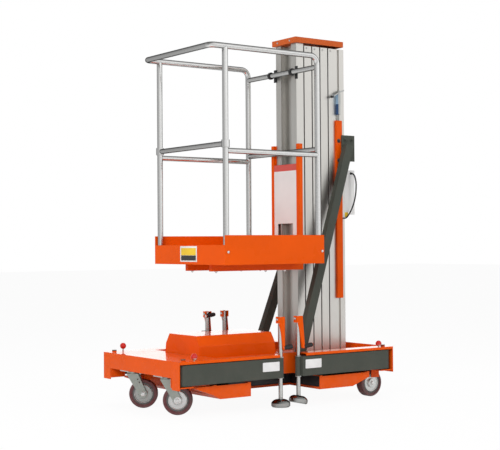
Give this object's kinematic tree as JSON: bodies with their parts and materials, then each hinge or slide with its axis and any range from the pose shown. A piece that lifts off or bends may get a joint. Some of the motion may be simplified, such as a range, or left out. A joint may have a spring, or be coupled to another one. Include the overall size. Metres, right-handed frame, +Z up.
{
  "type": "vertical mast lift",
  "caption": "Push-around vertical mast lift: wheeled base with swing-out outriggers and jacks, telescoping aluminium mast and a one-person guarded platform.",
  "frame": {"origin": "on the floor below the middle of the base", "axes": "+X along the base towards the mast, +Y to the far side, +Z up"},
  "size_m": [1.399, 0.775, 1.982],
  "materials": {
    "orange_paint": "gloss orange paint on steel",
    "grey_paint": "satin dark grey paint on steel",
    "mast_aluminium": "anodised extrusion",
    "tube_chrome": "polished tube",
    "zinc": "zinc-plated steel",
    "white_paint": "gloss white",
    "wine_tread": "wine-red polyurethane",
    "wheel_core": "dark grey core with bright hub",
    "black_plastic": "black plastic",
    "red_plastic": "red plastic",
    "blue_plastic": "blue plastic",
    "power_unit": "dark power unit"
  },
  "bodies": {
    "base": {"battery_block": "black_plastic", "belly_front": "orange_paint", "belly_rear": "orange_paint", "belly_spine": "orange_paint", "box_cable": "black_plastic", "brace_far": "grey_paint", "brace_near": "grey_paint", "castor_plates": "zinc", "control_box": "white_paint", "cross_member_front": "orange_paint", "cross_member_rear": "orange_paint", "deck_plate": "orange_paint", "deck_ribs": "orange_paint", "floor_plate": "orange_paint", "limit_switch": "blue_plastic", "locking_knobs": "red_plastic", "mast_stage_1": "mast_aluminium", "pivot_pins": "zinc", "power_cover": "orange_paint", "power_unit": "power_unit", "rear_forks": "orange_paint", "rear_rails": "orange_paint", "side_channel_far": "orange_paint", "side_channel_near": "orange_paint"},
    "stage_2": {"mast_stage_2": "mast_aluminium"},
    "stage_3": {"mast_stage_3": "mast_aluminium"},
    "stage_4": {"mast_stage_4": "mast_aluminium"},
    "platform": {"mast_stage_5": "mast_aluminium", "mast_cap": "orange_paint", "platform_arms": "orange_paint", "platform_tray": "orange_paint", "notice_plate": "white_paint", "guard_hoop": "tube_chrome", "front_posts": "tube_chrome", "side_rails": "tube_chrome", "back_rails": "tube_chrome", "rail_clamps": "black_plastic"},
    "gate": {"gate_bar": "tube_chrome"},
    "outrigger_front_near": {"outrigger_front_near": "grey_paint"},
    "jack_front_near": {"jack_front_near": "zinc", "crank_front_near": "orange_paint"},
    "outrigger_front_far": {"outrigger_front_far": "grey_paint"},
    "jack_front_far": {"jack_front_far": "zinc", "crank_front_far": "orange_paint"},
    "outrigger_rear_near": {"outrigger_rear_near": "grey_paint"},
    "jack_rear_near": {"jack_rear_near": "zinc", "crank_rear_near": "orange_paint"},
    "outrigger_rear_far": {"outrigger_rear_far": "grey_paint"},
    "jack_rear_far": {"jack_rear_far": "zinc", "crank_rear_far": "orange_paint"},
    "fork_front_near": {"fork_front_near": "zinc"},
    "fork_front_far": {"fork_front_far": "zinc"},
    "wheel_front_near": {"tread_front_near": "wine_tread", "core_front_near": "wheel_core"},
    "wheel_front_far": {"tread_front_far": "wine_tread", "core_front_far": "wheel_core"},
    "wheel_rear_near": {"tread_rear_near": "wine_tread", "core_rear_near": "wheel_core"},
    "wheel_rear_far": {"tread_rear_far": "wine_tread", "core_rear_far": "wheel_core"}
  },
  "joints": [
    {"name": "mast_stage_2_lift", "type": "slide", "parent": "base", "child": "stage_2", "axis": [0, 0, 1], "range_m": [0, 1.31]},
    {"name": "mast_stage_3_lift", "type": "slide", "parent": "stage_2", "child": "stage_3", "axis": [0, 0, 1], "range_m": [0, 1.31]},
    {"name": "mast_stage_4_lift", "type": "slide", "parent": "stage_3", "child": "stage_4", "axis": [0, 0, 1], "range_m": [0, 1.31]},
    {"name": "platform_lift", "type": "slide", "parent": "stage_4", "child": "platform", "axis": [0, 0, 1], "range_m": [0, 1.31]},
    {"name": "gate_lift", "type": "slide", "parent": "platform", "child": "gate", "axis": [0, 0, 1], "range_m": [0, 0.44]},
    {"name": "outrigger_front_near_swing", "type": "hinge", "parent": "base", "child": "outrigger_front_near", "pos_m": [-0.65, -0.3385, 0.2], "axis": [0, 0, -1], "range_deg": [0, 90]},
    {"name": "jack_front_near_screw", "type": "slide", "parent": "outrigger_front_near", "child": "jack_front_near", "axis": [0, 0, -1], "range_m": [-0.08, 0.02]},
    {"name": "outrigger_front_far_swing", "type": "hinge", "parent": "base", "child": "outrigger_front_far", "pos_m": [-0.65, 0.3385, 0.2], "axis": [0, 0, 1], "range_deg": [0, 90]},
    {"name": "jack_front_far_screw", "type": "slide", "parent": "outrigger_front_far", "child": "jack_front_far", "axis": [0, 0, -1], "range_m": [-0.08, 0.02]},
    {"name": "outrigger_rear_near_swing", "type": "hinge", "parent": "base", "child": "outrigger_rear_near", "pos_m": [0.65, -0.3385, 0.2], "axis": [0, 0, 1], "range_deg": [0, 90]},
    {"name": "jack_rear_near_screw", "type": "slide", "parent": "outrigger_rear_near", "child": "jack_rear_near", "axis": [0, 0, -1], "range_m": [-0.08, 0.02]},
    {"name": "outrigger_rear_far_swing", "type": "hinge", "parent": "base", "child": "outrigger_rear_far", "pos_m": [0.65, 0.3385, 0.2], "axis": [0, 0, -1], "range_deg": [0, 90]},
    {"name": "jack_rear_far_screw", "type": "slide", "parent": "outrigger_rear_far", "child": "jack_rear_far", "axis": [0, 0, -1], "range_m": [-0.08, 0.02]},
    {"name": "swivel_front_near", "type": "hinge", "parent": "base", "child": "fork_front_near", "pos_m": [-0.637, -0.166, 0.17], "axis": [0, 0, 1], "continuous": true},
    {"name": "wheel_front_near_spin", "type": "hinge", "parent": "fork_front_near", "child": "wheel_front_near", "pos_m": [-0.5925, -0.19833, 0.074], "axis": [0.5878, 0.809, 0], "continuous": true},
    {"name": "swivel_front_far", "type": "hinge", "parent": "base", "child": "fork_front_far", "pos_m": [-0.637, 0.166, 0.17], "axis": [0, 0, 1], "continuous": true},
    {"name": "wheel_front_far_spin", "type": "hinge", "parent": "fork_front_far", "child": "wheel_front_far", "pos_m": [-0.5925, 0.13367, 0.074], "axis": [0.5878, 0.809, 0], "continuous": true},
    {"name": "wheel_rear_near_spin", "type": "hinge", "parent": "base", "child": "wheel_rear_near", "pos_m": [0.63, -0.245, 0.074], "axis": [0, 1, 0], "continuous": true},
    {"name": "wheel_rear_far_spin", "type": "hinge", "parent": "base", "child": "wheel_rear_far", "pos_m": [0.63, 0.245, 0.074], "axis": [0, 1, 0], "continuous": true}
  ],
  "couplings": [
    {"joint": "mast_stage_3_lift", "follows": "mast_stage_2_lift", "ratio": 1},
    {"joint": "mast_stage_4_lift", "follows": "mast_stage_2_lift", "ratio": 1},
    {"joint": "platform_lift", "follows": "mast_stage_2_lift", "ratio": 1}
  ]
}
